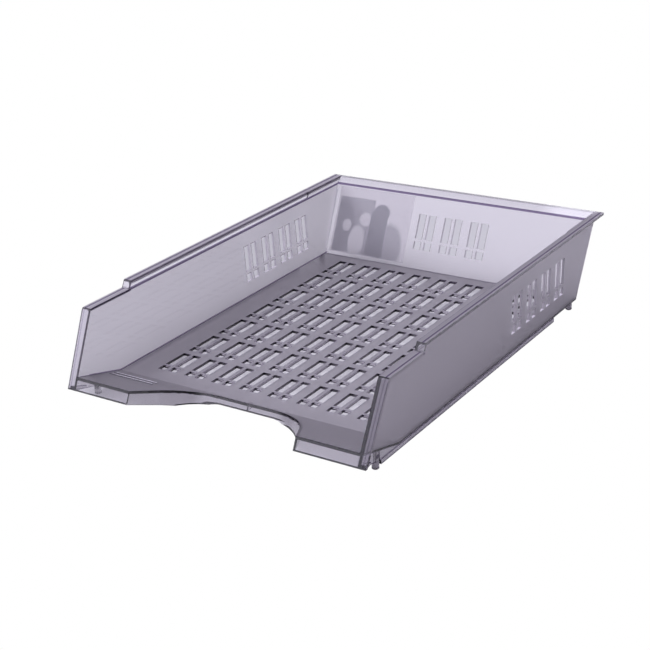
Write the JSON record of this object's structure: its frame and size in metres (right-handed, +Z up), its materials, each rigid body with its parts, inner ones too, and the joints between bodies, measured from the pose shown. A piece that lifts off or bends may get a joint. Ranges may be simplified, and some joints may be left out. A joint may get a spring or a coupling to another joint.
{
  "type": "letter tray",
  "caption": "Smoke-tinted translucent stacking letter tray for A4 sheets, with a perforated floor, leaning rear wall, side flanges, thumb scoop at the front, small feet and a paper label.",
  "frame": {"origin": "centre of the footprint, at desk level under the feet", "axes": "+X right seen from the front, +Y towards the rear wall, +Z up"},
  "size_m": [0.258, 0.36, 0.07],
  "materials": {
    "smoke_plastic": "glossy, clear smoke-grey polystyrene with a faint violet tint",
    "label_paper": "matt printed paper"
  },
  "bodies": {
    "root": {"floor_panel": "smoke_plastic", "front_ramp": "smoke_plastic", "lip_skirt": "smoke_plastic", "left_side_wall": "smoke_plastic", "right_side_wall": "smoke_plastic", "rear_wall": "smoke_plastic", "left_stacking_rail": "smoke_plastic", "right_stacking_rail": "smoke_plastic", "rear_flange": "smoke_plastic", "left_front_flange": "smoke_plastic", "right_front_flange": "smoke_plastic", "left_foot_rail": "smoke_plastic", "right_foot_rail": "smoke_plastic", "front_feet": "smoke_plastic", "rear_feet": "smoke_plastic", "rear_label": "label_paper"}
  },
  "joints": []
}
